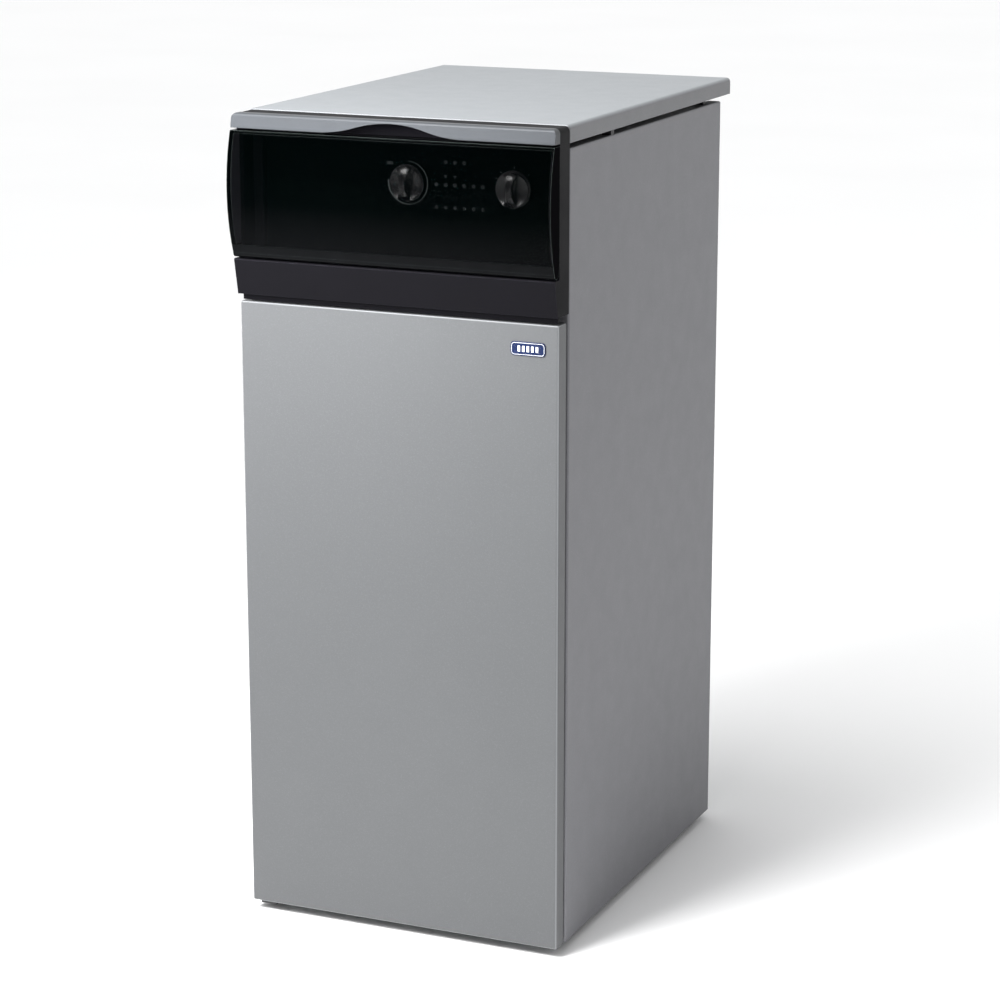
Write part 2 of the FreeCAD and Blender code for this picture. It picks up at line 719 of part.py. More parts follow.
def knob(name, x):
    """Round knob: a skirt, a domed body scooped out on both sides of a finger bar, and a stem."""
    back = "fascia_front - 1"
    face = f"{back} - 15"
    centre = (x, "knob_z")
    skirt = rod("y", centre, "knob_radius", f"{back} - 2.5", back)
    stem = rod("y", centre, "shaft_radius", f"{back} - 1", "fascia_front + 9")
    drum = rod("y", centre, "knob_radius - 1.5", f"{face} - 1", f"{back} - 1")
    dome = common(drum, ball(x, f"{face} + knob_dome", "knob_z", "knob_dome"))
    scoops = []
    for side in (-1, 1):
        waist = rod("y", (f"{x} + {side} * (scoop_radius + 3)", "knob_z"), "scoop_radius",
                    f"{face} - 1", f"{back} - 3")
        ends = (f"{x} - knob_radius", x) if side < 0 else (x, f"{x} + knob_radius")
        hollow_floor = rod("x", (f"{back} - 4 - scoop_radius", "knob_z"), "scoop_radius", *ends)
        scoops.append(common(waist, hollow_floor))
    slot = box((f"{x} - 0.65", f"{x} + 0.65"), (f"{face} - 1", f"{face} + 2.4"),
               ("knob_z + 2.5", "knob_z + 12"))
    node(name, cut(fuse(skirt, dome, stem), *scoops, slot))


def rotary_parts():
    """Potentiometer and selector switch behind the fascia; each knob's stem turns in one."""
    for x, name, case in (("0", "temperature_potentiometer", round_case),
                          ("selector_x", "selector_switch", square_case)):
        centre = (x, "knob_z")
        bush = rod("y", centre, "4.9", "fascia_front", "fascia_front + wall")
        hole = rod("y", centre, "shaft_radius + slip", "fascia_front", "fascia_front + 9.2")
        node(name, cut(fuse(bush, case(x)), hole))


def round_case(x):
    return rod("y", (x, "knob_z"), "9", "fascia_front + wall", "fascia_front + wall + 9")


def square_case(x):
    return box((f"{x} - 13", f"{x} + 13"), ("fascia_front + wall", "fascia_front + wall + 10"),
               ("knob_z - 13", "knob_z + 13"))


def control_box():
    """Tray for the electronics, its lid, and the board with transformer and terminals."""
    body = new_body("control_box")
    pad(body, "XY", [rectangle(("-150", "150"), ("-185", "-98"))], "663", "812")
    fillet(body, "3", runs_along("z"))
    hollow(body, "2", "z", "812")
    pocket(body, "XY", [(x, "-150", "5") for x in ("-90", "-50", "40")], "663", "665")
    node("control_box_cover", box((-150, 150), (-185, -98), (812, 814)))
    board = box((-140, 110), (-176, -106), (672, 673.6))
    core = box((-125, -80), (-160, -120), (673.6, 708))
    winding = box((-118, -87), (-166, -114), (678, 704))
    terminals = [box((x, x + 9), (-128, -110), (673.6, 688)) for x in range(0, 91, 10)]
    strip = box((0, 99), (-126, -112), (673.6, 680))
    node("main_board", fuse(board, core, winding, strip, *terminals))
    glands = [fuse(tube("z", (x, -150), "7", "2.1", "659", "663"),
                   tube("z", (x, -150), "4.95", "2.1", "663", "667")) for x in (-90, -50, 40)]
    node("cable_glands", group(*glands))


# ---- Heat exchanger ----------------------------------------------------------------------

def arch(half, low, spring):
    """Three sides of an arched opening, from its right foot to its left foot."""
    return [(half, low), (half, spring, half), (f"-({half})", spring), (f"-({half})", low)]


def cast_section(name, index, closed_back=False):
    """Arched hollow casting: flue slots on its mating faces, a waterway and tie-rod lugs."""
    body = new_body(name)
    front = f"block_front + section * {index}"
    back = f"{front} + section"
    outer = [("-block_half", "block_low"), ("-block_half", "block_top"),
             ("block_half", "block_top"), ("block_half", "block_low")]
    pad(body, "XZ", [outer + arch("arch_half", "block_low", "arch_spring")], front, back)
    fillet(body, "14", runs_along("y", x=["-block_half", "block_half"], z="block_top"))
    for side in (-1, 1):
        edge = sorted((side * 128, side * 141))
        lugs = [rectangle((f"{edge[0]}", f"{edge[1]}"), (f"{z - 8}", f"{z + 8}"))
                for z in (160, 540)]
        for lug in lugs:
            pad(body, "XZ", [lug], front, back)
    slots = [rectangle((f"{x}", f"{x + 22}"), ("arch_spring + 40", "block_top + 1"))
             for x in range(-68, 100, 30)]
    if index > 0:
        pocket(body, "XZ", slots, front, f"{front} + 14")
    if not closed_back:
        pocket(body, "XZ", slots, f"{back} - 14", back)
    inset = "block_half - iron"
    water = [(f"-({inset})", "block_low + iron"), (f"-({inset})", "block_top - iron - 8"),
             (inset, "block_top - iron - 8"), (inset, "block_low + iron")]
    water += arch("arch_half + iron", "block_low + iron", "arch_spring")
    pocket(body, "XZ", [water], f"{front} + 22", f"{back} - 22")
    ports = [("flow_x", "flow_z", "14"), ("return_x", "return_z", "10")]
    if index > 0:
        pocket(body, "XZ", ports, front, f"{front} + 22")
    pocket(body, "XZ", ports, f"{back} - 22", back)
    rods = [(f"{side * 135}", f"{z}", "5.3") for side in (-1, 1) for z in (160, 540)]
    pocket(body, "XZ", rods, front, back)
    if closed_back:
        wall = rectangle(("-arch_half - 1", "arch_half + 1"), ("block_low", "arch_spring + 100"))
        pad(body, "XZ", [wall], f"{back} - 12", back)


def section_nipples():
    """Press nipples that join the waterways of neighbouring sections."""
    nipples = []
    for joint in (1, 2):
        at = f"block_front + section * {joint}"
        for x, z, radius in (("flow_x", "flow_z", 14), ("return_x", "return_z", 10)):
            nipples.append(tube("y", (x, z), f"{radius} - slip", f"{radius} - 3",
                                f"{at} - 12", f"{at} + 12"))
    node("section_nipples", group(*nipples))


def chamber_plate():
    """Plate over the mouth of the chamber, with the sight glass and holes for the electrodes."""
    plate = box((-118, 118), ("block_front - 3", "block_front"), (168, 352))
    holes = [rod("y", (0, 240), "16", "block_front - 3", "block_front")]
    holes += [rod("y", (x, 184), "4.2", "block_front - 3", "block_front") for x in (-60, -36)]
    node("chamber_plate", cut(plate, *holes))
    glass = rod("y", (0, 240), "20", "block_front - 6", "block_front - 3")
    node("sight_glass", glass)
    ring = tube("y", (0, 240), "27", "15", "block_front - 9", "block_front - 6")
    rim = tube("y", (0, 240), "27", "20.2", "block_front - 6", "block_front - 3")
    screws = [rod("y", (x, 240), "2.5", "block_front - 11", "block_front - 9") for x in (-23.5, 23.5)]
    node("sight_glass_ring", fuse(ring, rim, *screws))


def water_pipes():
    """Flow and return stubs: a hexagon at the rear section and a G1 end behind the casing."""
    back = "block_front + section * 3"
    for name, x, z, bore in (("flow_pipe", "flow_x", "flow_z", 14),
                             ("return_pipe", "return_x", "return_z", 10)):
        stub = rod("y", (x, z), "pipe_radius - 1", back, "depth / 2 - 28")
        end = rod("y", (x, z), "pipe_radius", "depth / 2 - 28", "depth / 2")
        hexagon = prism("y", (x, z), "21", back, f"{back} + 14")
        waterway = rod("y", (x, z), f"{bore}", back, "depth / 2")
        node(name, cut(fuse(stub, end, hexagon), waterway))


def drain_cock():
    """Brass drain cock at the foot of the block: a hose tail below and a lever in front."""
    x, z = 112, 108
    body = rod("y", (x, z), "8", "block_front - 30", "block_front")
    collar = prism("y", (x, z), "11", "block_front - 10", "block_front - 3")
    tail = rod("z", (x, "block_front - 20"), "6", f"{z} - 32", f"{z}")
    barb = cone("z", (x, "block_front - 20"), "6", "7.5", f"{z} - 26", f"{z} - 20")
    spindle_room = rod("y", (x, z), "4 + slip", "block_front - 30", "block_front - 14")
    node("drain_cock_body", cut(fuse(body, collar, tail, barb), spindle_room))
    spindle = rod("y", (x, z), "4", "block_front - 36", "block_front - 14.5")
    hub = rod("y", (x, z), "9", "block_front - 35", "block_front - 30.5")
    handle = box((x - 5, x + 5), ("block_front - 34", "block_front - 31"), (f"{z}", f"{z + 46}"))
    tip = rod("y", (x, z + 46), "5", "block_front - 34", "block_front - 31")
    node("drain_cock_lever", fuse(spindle, hub, handle, tip))


def temperature_sensor():
    """Brass probe screwed into the front section through the front insulation."""
    x, z = -90, 470
    hexagon = prism("y", (x, z), "10", "block_front - 12", "block_front")
    tail = rod("y", (x, z), "5", "block_front - 34", "block_front - 12")
    node("temperature_sensor", fuse(hexagon, tail))


def insulation():
    """Glass-wool jacket round three sides of the block, and a panel over its front."""
    outer = box((-164, 164), (-98, 208), (92, 606))
    inner = box((-145, 145), (-99, 186), (91, 607))
    flow = rod("y", ("flow_x", "flow_z"), "pipe_radius + 2", 180, 210)
    back = rod("y", ("return_x", "return_z"), "pipe_radius + 2", 180, 210)
    node("insulation_jacket", cut(outer, inner, flow, back))
    front = box((-124, 124), (-124, -101), (356, 606))
    hole = rod("y", (-90, 470), "12", -125, -100)
    node("insulation_front", cut(front, hole))


# ---- Flue --------------------------------------------------------------------------------

def flue():
    """Collector on the block, draught diverter behind it, spigot and safety thermostat."""
    body = new_body("flue_collector")
    pad(body, "XY", [rectangle(("-112", "112"), ("-94", "166"))], "block_top", "676")
    hollow(body, "1.5", "z", "block_top")
    pocket(body, "XY", [rectangle(("-80", "80"), ("74", "156"))], "674.5", "676")
    body = new_body("draught_diverter")
    pad(body, "XY", [rectangle(("-95", "95"), ("62", "214"))], "676", "814")
    hollow(body, "1", "z", "676")
    pocket(body, "XZ", [("0", "flue_z", "flue_radius + 1")], "213", "214")
    pipe_wall = tube("y", ("0", "flue_z"), "flue_radius + 1", "flue_radius", "212", "depth / 2")
    flange = tube("y", ("0", "flue_z"), "flue_radius + 9", "flue_radius + 1", "214", "216")
    node("flue_spigot", fuse(pipe_wall, flange))
    disc = rod("z", (60, 120), "9", "814", "820")
    cap = rod("z", (60, 120), "6", "820", "825")
    node("flue_thermostat", fuse(disc, cap))


# ---- Burner and gas line -----------------------------------------------------------------

def bar_x(index):
    return f"bar_pitch * {index - (BARS - 1) / 2}"


def burner_bars():
    """Folded stainless bars with slotted crowns, each fed by a round mouth at its front."""
    bars = []
    for index in range(BARS):
        x = bar_x(index)
        trunk = box((f"{x} - 9", f"{x} + 9"), (-88, 150), (124, 156))
        crown = rod("y", (x, "156"), "9", -88, 150)
        mouth = cone("y", (x, "injector_z"), "13", "8.5", -122, -88)
        throat = cone("y", (x, "injector_z"), "11.5", "7", -122, -88)
        slots = [box((f"{x} - 7", f"{x} + 7"), (y, y + 2), (158, 166)) for y in range(-70, 141, 15)]
        shell = cut(fuse(trunk, crown), *slots)
        bars.append(fuse(shell, cut(mouth, throat)))
    node("burner_bars", group(*bars))


def burner_tray():
    """Tray under the bars: two side rails tied by cross strips, with the bars between them."""
    rails = [box((x, x + 2), (-92, 152), (100, 150)) for x in (-93, 91)]
    strips = [box((-91, 91), (y, y + 14), (120, 122)) for y in (-86, 30, 134)]
    node("burner_tray", fuse(*rails, *strips))


def gas_manifold():
    """Round manifold across the burner, drilled for five injectors, with two end brackets."""
    bar = rod("x", ("gas_y", "injector_z"), "gas_radius", -92, 90)
    bore = rod("x", ("gas_y", "injector_z"), "gas_radius - 2.5", -89, 90)
    taps = [rod("y", (bar_x(index), "injector_z"), "4 + slip", "gas_y", "gas_y + gas_radius + 1")
            for index in range(BARS)]
    brackets = [box((x, x + 3), ("gas_y + 5", -92), (130, 150)) for x in (-93, 90)]
    node("gas_manifold", cut(fuse(bar, *brackets), bore, *taps))
    injectors = []
    for index in range(BARS):
        spot = (bar_x(index), "injector_z")
        stem = rod("y", spot, "4", "gas_y + gas_radius - 2", "gas_y + gas_radius + 1.5")
        hexagon = prism("y", spot, "6", "gas_y + gas_radius + 1.5", "gas_y + gas_radius + 7")
        nose = cone("y", spot, "4", "2", "gas_y + gas_radius + 7", "gas_y + gas_radius + 13")
        jet = rod("y", spot, "0.9", "gas_y", "gas_y + 30")
        injectors.append(cut(fuse(stem, hexagon, nose), jet))
    node("injectors", group(*injectors))


def gas_valve():
    """Die-cast valve with two coils on top and a flanged union at each end."""
    case = box((2, 78), ("gas_y - 22", "gas_y + 22"), ("valve_z - 22", "valve_z + 24"))
    rounded = doc.addObject("Part::Fillet", "rounded")
    rounded.Base = case
    rounded.Edges = [(index, 4, 4) for index in range(1, 13)]
    unions = [prism("x", ("gas_y", "valve_z"), "17", low, low + 12) for low in (-8, 76)]
    knob_cap = rod("y", (40, "valve_z"), "12", "gas_y - 27", "gas_y - 21")
    taps = [rod("y", (x, "valve_z - 14"), "3", "gas_y - 27", "gas_y - 21") for x in (14, 66)]
    node("gas_valve", fuse(rounded, *unions, knob_cap, *taps))
    coils = [fuse(rod("z", (x, "gas_y"), "14", "valve_z + 24", "valve_z + 52"),
                  rod("z", (x, "gas_y"), "5", "valve_z + 52", "valve_z + 57")) for x in (24, 58)]
    node("gas_valve_coils", group(*coils))


def gas_pipes():
    """Inlet pipe from the rear to the valve, and the drop from the valve to the manifold."""
    inlet = [("gas_x", "depth / 2", "gas_z"), ("gas_x", "gas_y", "gas_z"),
             ("gas_x", "gas_y", "valve_z"), ("-8", "gas_y", "valve_z")]
    line = pipe(inlet, "gas_radius", "26", "gas_radius - 2.6")
    end = tube("y", ("gas_x", "gas_z"), "gas_thread", "gas_radius - 2.6",
               "depth / 2 - 28", "depth / 2")
    node("gas_inlet_pipe", fuse(line, end))
    drop = [("88", "gas_y", "valve_z"), ("124", "gas_y", "valve_z"),
            ("124", "gas_y", "injector_z"), ("93", "gas_y", "injector_z")]
    node("manifold_pipe", pipe(drop, "8", "20", "6.5"))


def electrodes():
    """Ignition and flame-sensing electrodes, each a ceramic body with its wire through it."""
    pieces = []
    for x in (-60, -36):
        spot = (x, 184)
        sleeve = rod("y", spot, "4", "block_front - 26", "block_front + 20")
        shoulder = rod("y", spot, "6.5", "block_front - 9", "block_front - 3")
        wire = rod("y", spot, "1.3", "block_front - 30", "block_front + 34")
        pieces.append(fuse(sleeve, shoulder, wire))
    node("electrodes", group(*pieces))


def leads():
    """Three leads from the control box glands, each along its own line."""
    ignition = [(-36, -130, 184), (-36, -139, 184), (-36, -139, 330), (-50, -139, 480),
                (-50, -150, 560), (-50, -150, 667)]
    sensor = [(-90, -134, 470), (-90, -142, 470), (-90, -142, 560), (-90, -150, 610),
              (-90, -150, 667)]
    valve = [(41, -136, 440), (41, -134, 470), (41, -136, 560), (40, -150, 610),
             (40, -150, 667)]
    routes = (ignition, sensor, valve)
    node("leads", group(*[pipe(route, "2", "3.5") for route in routes]))


# ---- Assembly ----------------------------------------------------------------------------

def build():
    side_panel("side_panel_left", -1)
    side_panel("side_panel_right", 1)
    for name, side in (("side_panel_left", -1), ("side_panel_right", 1)):
        drill_for_screws(nodes[name], "side_rear - sheet", "side_rear", side)
    rear_panel()
    drill_for_screws(nodes["rear_panel"], "side_rear", "side_rear + sheet")
    rear_panel_screws()
    top_cover()
    cover_supports()
    base_frame()
    fastened_studs()
    support_rails()
    front_crossmember()
    door_shell()
    door_inner_panel()
    door_hinges()
    door_magnets()
    door_badge()
    control_frame()
    grip_trim()
    flap()
    flap_pins()
    fascia_plate()
    indicators()
    knob("temperature_knob", "0")
    knob("selector_knob", "selector_x")
    rotary_parts()
    control_box()
    cast_section("front_section", 0)
    cast_section("middle_section", 1)
    cast_section("rear_section", 2, closed_back=True)
    section_nipples()
    chamber_plate()
    water_pipes()
    drain_cock()
    temperature_sensor()
    insulation()
    flue()
    burner_bars()
    burner_tray()
    gas_manifold()
    gas_valve()
    gas_pipes()
    electrodes()
    leads()


def check_and_export():
    """Refuses a failed feature or a bad shape, then writes one file for each sub-part."""
    doc.recompute()
    for item in doc.Objects:
        if "Invalid" in item.State or "Error" in item.State:
            raise RuntimeError(f"{item.Name} ({item.Label}) failed")
    for name, item in nodes.items():
        if item.Shape.isNull() or not item.Shape.isValid():
            raise RuntimeError(f"{name} has a bad shape")
    os.makedirs("parts", exist_ok=True)
    for name, item in nodes.items():
        item.Shape.exportStep(f"parts/{name}.step")


build()
check_and_export()
print(len(nodes), "sub-parts")
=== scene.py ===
import json
import math

import bpy
import bmesh
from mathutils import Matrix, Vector, noise


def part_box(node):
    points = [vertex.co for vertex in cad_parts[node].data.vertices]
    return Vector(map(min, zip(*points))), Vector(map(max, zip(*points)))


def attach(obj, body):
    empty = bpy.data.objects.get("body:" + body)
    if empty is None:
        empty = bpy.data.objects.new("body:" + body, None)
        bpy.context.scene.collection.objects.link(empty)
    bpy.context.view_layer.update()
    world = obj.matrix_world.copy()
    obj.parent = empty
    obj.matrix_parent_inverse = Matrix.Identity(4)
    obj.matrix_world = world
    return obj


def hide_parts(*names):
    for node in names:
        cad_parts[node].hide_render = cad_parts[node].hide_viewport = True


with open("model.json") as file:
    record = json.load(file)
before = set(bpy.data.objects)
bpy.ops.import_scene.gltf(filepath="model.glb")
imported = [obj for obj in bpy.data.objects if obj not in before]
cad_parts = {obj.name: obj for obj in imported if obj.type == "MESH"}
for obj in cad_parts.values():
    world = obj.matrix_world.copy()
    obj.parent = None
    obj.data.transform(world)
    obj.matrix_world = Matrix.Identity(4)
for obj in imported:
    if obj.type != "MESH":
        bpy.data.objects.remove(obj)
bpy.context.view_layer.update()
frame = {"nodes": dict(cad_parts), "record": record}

MM = 0.001
nodes = frame["nodes"]


# ---- Building node materials -------------------------------------------------------------

class Look:
    """A procedural material, built from object coordinates, which are model coordinates in metres."""

    def __init__(self, name):
        self.material = bpy.data.materials.new("look_" + name)
        self.material.use_nodes = True
        self.shader = self.material.node_tree.nodes["Principled BSDF"]
        self.place = self.node("TexCoord").outputs["Object"]

    def node(self, kind, sockets=None, **settings):
        made = self.material.node_tree.nodes.new("ShaderNode" + kind)
        for key, setting in settings.items():
            setattr(made, key, setting)
        for socket, source in (sockets or {}).items():
            self.feed(made.inputs[socket], source)
        return made

    def feed(self, socket, source):
        """Links a node's output, or sets a plain value."""
        if isinstance(source, bpy.types.NodeSocket):
            self.material.node_tree.links.new(source, socket)
        elif isinstance(source, (tuple, list)) and len(source) == 3 and socket.type == "RGBA":
            socket.default_value = (*source, 1)
        else:
            socket.default_value = source

    def set(self, **inputs):
        for name, source in inputs.items():
            self.feed(self.shader.inputs[name.replace("_", " ")], source)

    def stretched(self, scale):
        return self.node("Mapping", {"Vector": self.place, "Scale": scale}).outputs["Vector"]

    def noise(self, scale, detail=2.0, roughness=0.5, distortion=0.0, stretch=None):
        vector = self.stretched(stretch) if stretch else self.place
        sockets = {"Vector": vector, "Scale": scale, "Detail": detail,
                   "Roughness": roughness, "Distortion": distortion}
        return self.node("TexNoise", sockets).outputs["Fac"]

    def cells(self, scale, output="Color", feature="F1", stretch=None):
        vector = self.stretched(stretch) if stretch else self.place
        made = self.node("TexVoronoi", {"Vector": vector, "Scale": scale}, feature=feature)
        return made.outputs[output]

    def span(self, source, low, high, start=0.0, end=1.0):
        """Source's start..end mapped to low..high, clamped."""
        sockets = {"Value": source, "From Min": start, "From Max": end, "To Min": low, "To Max": high}
        return self.node("MapRange", sockets).outputs["Result"]

    def maths(self, operation, first, second=0.0):
        return self.node("Math", {0: first, 1: second}, operation=operation).outputs[0]

    def mix(self, factor, first, second):
        """Two colours mixed; a Mix node has them on its inputs 6 and 7 and gives output 2."""
        made = self.node("Mix", data_type="RGBA")
        for index, source in ((0, factor), (6, first), (7, second)):
            self.feed(made.inputs[index], source)
        return made.outputs[2]

    def tint(self, tone, source, spread):
        """The tone, lighter and darker by the spread as source goes from 0.3 to 0.7."""
        low = tuple(c * (1 - spread) for c in tone)
        high = tuple(min(1, c * (1 + spread)) for c in tone)
        return self.mix(self.span(source, 0, 1, 0.3, 0.7), low, high)

    def bump(self, height, depth, normal=None):
        """Relief of the given depth, in metres."""
        sockets = {"Height": height, "Strength": 1.0, "Distance": depth}
        if normal is not None:
            sockets["Normal"] = normal
        return self.node("Bump", sockets).outputs["Normal"]

    def soft_edges(self, radius):
        return self.node("Bevel", {"Radius": radius}, samples=4).outputs["Normal"]

    def rounding(self):
        """0 on faces square to the object's axes, rising to 1 on the rounded edges between them."""
        normal = self.node("SeparateXYZ", {"Vector": self.node("TexCoord").outputs["Normal"]})
        x, y, z = (self.maths("ABSOLUTE", normal.outputs[axis]) for axis in "XYZ")
        return self.span(self.maths("MAXIMUM", x, self.maths("MAXIMUM", y, z)), 1, 0, 0.80, 0.97)

    def edges(self, radius):
        """About 0 on flat faces, rising to 1 along convex and concave edges."""
        rounded = self.soft_edges(radius)
        flat = self.node("NewGeometry").outputs["Normal"]
        same = self.node("VectorMath", {0: rounded, 1: flat}, operation="DOT_PRODUCT")
        return self.span(same.outputs["Value"], 1, 0, 0.9, 0.995)


def powder_coat(name, tone, metal=0.3, lit_top_tone=None, painted_edge_highlight=0.0):
    """Satin powder coat: orange peel, faint flake, slow drift of tone and a painted highlight along its
    edges.

    Faces that look up can take a lighter tone, painted light from above; rounded edges can take a painted
    highlight.
    """
    look = Look(name)
    drift = look.noise(7, detail=4, roughness=0.6)
    mottle = look.noise(420, detail=3)
    flake = look.cells(1500)

    def coat(paint):
        plain = look.tint(paint, drift, 0.015)
        plain = look.mix(look.span(mottle, 0, 0.5), plain, look.tint(paint, mottle, 0.07))
        glint = look.node("SeparateColor", {"Color": flake}).outputs[0]
        bright = tuple(min(1, c * 1.5) for c in paint)
        plain = look.mix(look.span(glint, 0, 0.35, 0.82, 1), plain, bright)
        # Painted highlight: the edges are lightened towards the bright tone.
        return look.mix(look.span(look.edges(0.0007), 0, 0.45), plain, bright)

    tone_out = coat(tone)
    # Painted light: faces that look up take a lighter tone, as if lit from above.
    if lit_top_tone:
        facing = look.node("SeparateXYZ", {"Vector": look.node("NewGeometry").outputs["Normal"]})
        tone_out = look.mix(look.span(facing.outputs["Z"], 0, 1, 0.3, 0.95), tone_out, coat(lit_top_tone))
    # Painted highlight on the rounded edges.
    if painted_edge_highlight:
        edge_highlight_tone = tuple(min(1, c * 2.4) for c in tone)
        tone_out = look.mix(look.maths("MULTIPLY", look.rounding(), painted_edge_highlight), tone_out, edge_highlight_tone)
    peel = look.bump(look.noise(620, detail=1), 0.00006, look.soft_edges(0.0007))
    rough = look.span(look.noise(40, detail=5), 0.42, 0.47, 0.3, 0.7)
    look.set(Base_Color=tone_out, Metallic=metal, Roughness=rough,
             Normal=look.bump(mottle, 0.00004, peel))
    return look.material


def moulded(name, tone, rough=0.5, grain=0.00003, gloss=0.4, scale=1600, index=1.5, edge_wear_and_highlight_gain=3.0):
    """Moulded plastic with a spark-eroded grain, paler along its edges with rubbed wear and a painted
    highlight.
    """
    look = Look(name)
    drift = look.noise(14, detail=4)
    pits = look.noise(scale, detail=2, roughness=0.7)
    tone_out = look.mix(look.span(pits, 0, 0.6, 0.45, 0.75),
                        look.tint(tone, drift, 0.08), tuple(c * 1.35 for c in tone))
    # Edges lightened in patches: partly rubbed wear, partly a painted edge highlight.
    rubbed = look.span(look.noise(500, detail=3), 0.3, 0.9, 0.4, 0.6)
    edge_wear_and_highlight = look.maths("MULTIPLY", look.edges(0.0006), rubbed)
    tone_out = look.mix(edge_wear_and_highlight, tone_out, tuple(min(1, c * edge_wear_and_highlight_gain) for c in tone))
    look.set(Base_Color=tone_out, Roughness=look.span(drift, rough - 0.05, rough + 0.06, 0.3, 0.7),
             Specular_IOR_Level=gloss, IOR=index,
             Normal=look.bump(pits, grain, look.soft_edges(0.0005)))
    return look.material


def silver_lacquer(name, tone):
    """Silver lacquer on plastic: fine metallic flake under a thin clear coat."""
    look = Look(name)
    flake = look.cells(2400)
    sparkle = look.node("SeparateColor", {"Color": flake}).outputs[1]
    tone_out = look.mix(look.span(sparkle, 0, 0.5, 0.7, 1),
                        look.tint(tone, look.noise(25, detail=3), 0.04), tuple(c * 1.3 for c in tone))
    peel = look.bump(look.noise(480, detail=1), 0.00003, look.soft_edges(0.0006))
    look.set(Base_Color=tone_out, Metallic=0.25, Specular_IOR_Level=0.3,
             Normal=look.bump(look.noise(3000), 0.00001, peel),
             Roughness=look.span(look.noise(60, detail=4), 0.40, 0.48, 0.3, 0.7),
             Coat_Weight=0.1, Coat_Roughness=0.25)
    return look.material


# Heights where the flap's painted reflection and its opaque lip end, and how far out its end walls' faces
# lie.
REFLECTION_LOW, REFLECTION_HIGH = 0.706, 0.762
LIP_LOW, LIP_HIGH = 0.7165, 0.7185
WALL_INSIDE, WALL_OUTSIDE = 0.1740, 0.1746


def smoked_acrylic(name):
    """Near-black acrylic: dimly clear square on, solid end walls, a painted reflection just above its lip
    and a painted highlight along its edges.
    """
    look = Look(name)
    slant = look.node("LayerWeight", {"Blend": 0.5}).outputs["Facing"]
    facing = look.node("SeparateXYZ", {"Vector": look.node("NewGeometry").outputs["Normal"]})
    spot = look.node("SeparateXYZ", {"Vector": look.place})
    end_wall = look.span(look.maths("ABSOLUTE", facing.outputs["X"]), 0, 1, 0.4, 0.7)
    outside = look.span(look.maths("ABSOLUTE", spot.outputs["X"]), 0, 1, WALL_INSIDE, WALL_OUTSIDE)
    # Painted reflection: the lower band of the flap's face is lighter, broken a little by noise.
    painted_reflection = look.span(spot.outputs["Z"], 1, 0, REFLECTION_LOW, REFLECTION_HIGH)
    painted_reflection = look.maths("MULTIPLY", painted_reflection, look.span(look.noise(45, detail=4), 0.75, 1.0, 0.3, 0.7))
    lip = look.span(spot.outputs["Z"], 1, 0, LIP_LOW, LIP_HIGH)
    solid = look.maths("MAXIMUM", end_wall, lip)
    through = look.maths("SUBTRACT", look.span(slant, 0.60, 0.25, 0.0, 0.75), solid)
    # Painted highlight along the flap's edges, which also turn opaque there.
    rim_highlight = look.edges(0.0006)
    face_tone = look.mix(painted_reflection, (0.0001, 0.0004, 0.0004), (0.0036, 0.0038, 0.0042))
    wall_tone = look.mix(outside, (0.170, 0.155, 0.190), (0.0040, 0.0038, 0.0045))
    tone_out = look.mix(rim_highlight, look.mix(end_wall, face_tone, wall_tone), (0.10, 0.12, 0.115))
    alpha = look.maths("MAXIMUM", look.maths("SUBTRACT", 1.0, look.maths("MAXIMUM", through, 0.0)),
                       look.span(rim_highlight, 0, 0.95))
    haze = look.bump(look.noise(90, detail=1), 0.00002, look.soft_edges(0.0006))
    look.set(Base_Color=tone_out, Roughness=look.span(look.noise(220, detail=4), 0.05, 0.10, 0.3, 0.7),
             Specular_IOR_Level=look.span(end_wall, 0.02, 0.0), Alpha=alpha, Normal=haze)
    return look.material


def sheet_zinc(name, tone, scale=120, rough=0.38):
    """Galvanised sheet: spangle crystals, each with its own tone, gloss and slight tilt."""
    look = Look(name)
    crystal = look.node("SeparateColor", {"Color": look.cells(scale)})
    streak = look.noise(900, detail=3, stretch=(1, 1, 0.15))
    tone_out = look.tint(tone, look.span(crystal.outputs[0], 0.3, 0.7), 0.13)
    tone_out = look.mix(look.span(look.noise(11, detail=5), 0, 0.35, 0.5, 0.8), tone_out,
                        tuple(c * 0.78 for c in tone))
    lean = look.bump(look.cells(scale, "Distance"), 0.00005, look.soft_edges(0.0004))
    look.set(Base_Color=tone_out, Metallic=0.9, Normal=look.bump(streak, 0.00002, lean),
             Roughness=look.span(crystal.outputs[1], rough - 0.08, rough + 0.12))
    return look.material


def worked_metal(name, tone, rough=0.3, scale=700, stretch=(1, 1, 1), stain=0.15, relief=0.00003):
    """Turned, drawn or rolled metal with tool marks and light staining."""
    look = Look(name)
    marks = look.noise(scale, detail=4, roughness=0.7, stretch=stretch)
    patch = look.noise(35, detail=5, roughness=0.65)
    tone_out = look.mix(look.span(patch, 0, 1, 0.45, 0.75), look.tint(tone, marks, 0.1),
                        tuple(c * (1 - 2 * stain) for c in tone))
    look.set(Base_Color=tone_out, Metallic=1.0, Normal=look.bump(marks, relief, look.soft_edges(0.0004)),
             Roughness=look.span(patch, rough - 0.05, rough + 0.15, 0.3, 0.7))
    return look.material


